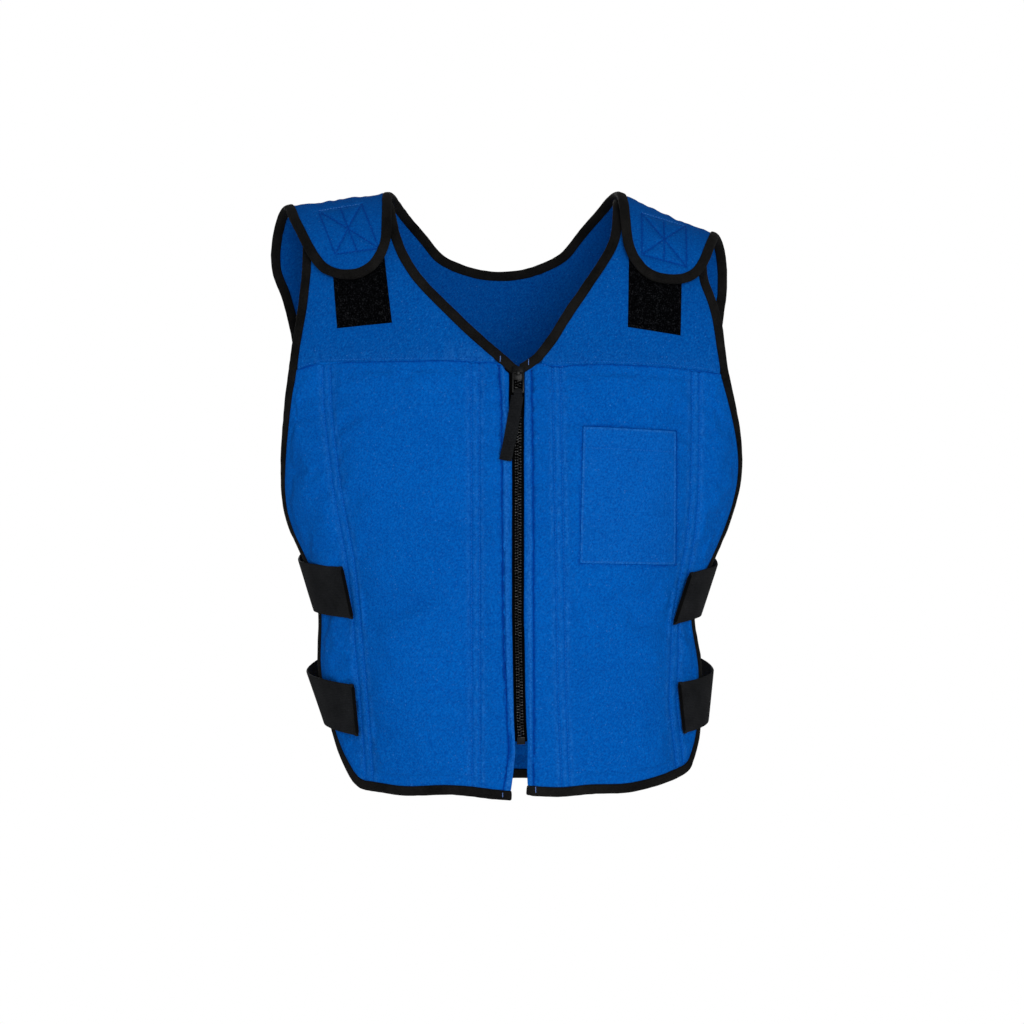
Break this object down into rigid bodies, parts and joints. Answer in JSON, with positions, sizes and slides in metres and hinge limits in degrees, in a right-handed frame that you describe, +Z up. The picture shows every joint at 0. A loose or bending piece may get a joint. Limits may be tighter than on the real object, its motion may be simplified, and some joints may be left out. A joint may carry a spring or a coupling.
{
  "type": "cooling vest",
  "caption": "Sleeveless padded work vest for cooling packs, held in its worn form, with a front zip, shoulder flaps on loop patches, a chest pocket and side straps across open sides.",
  "frame": {"origin": "middle of the shoulders, where the vest rests on its wearer", "axes": "+Z up, the front faces -Y, the wearer's right is -X"},
  "size_m": [0.4918, 0.2521, 0.6222],
  "materials": {
    "blue_twill": "brushed twill, matte",
    "black_binding": "fine ribbed tape, matte",
    "black_webbing": "ribbed webbing, matte",
    "loop_pile": "fuzzy loop pile",
    "zip_tape": "woven tape, matte",
    "zip_teeth": "moulded, semi-gloss",
    "zip_metal": "black enamel, worn bright at the edges"
  },
  "bodies": {
    "vest": {"front_body_right": "blue_twill", "front_body_left": "blue_twill", "front_yoke_right": "blue_twill", "front_yoke_left": "blue_twill", "back_body": "blue_twill", "back_yoke": "blue_twill", "chest_pocket": "blue_twill", "front_binding_right": "black_binding", "front_binding_left": "black_binding", "back_binding": "black_binding", "strap_upper_right": "black_webbing", "strap_lower_right": "black_webbing", "strap_upper_left": "black_webbing", "strap_lower_left": "black_webbing", "loop_patch_right": "loop_pile", "loop_patch_left": "loop_pile", "zip_tape_right": "zip_tape", "zip_tape_left": "zip_tape", "zip_teeth_right": "zip_teeth", "zip_teeth_left": "zip_teeth", "zip_slider": "zip_metal"},
    "puller": {"zip_puller": "zip_metal", "pull_tab": "black_webbing"}
  },
  "joints": [
    {"name": "puller_hinge", "type": "hinge", "parent": "vest", "child": "puller", "pos_m": [0, -0.1296, -0.1859], "axis": [-1, 0, 0], "range_deg": [0, 150]}
  ]
}
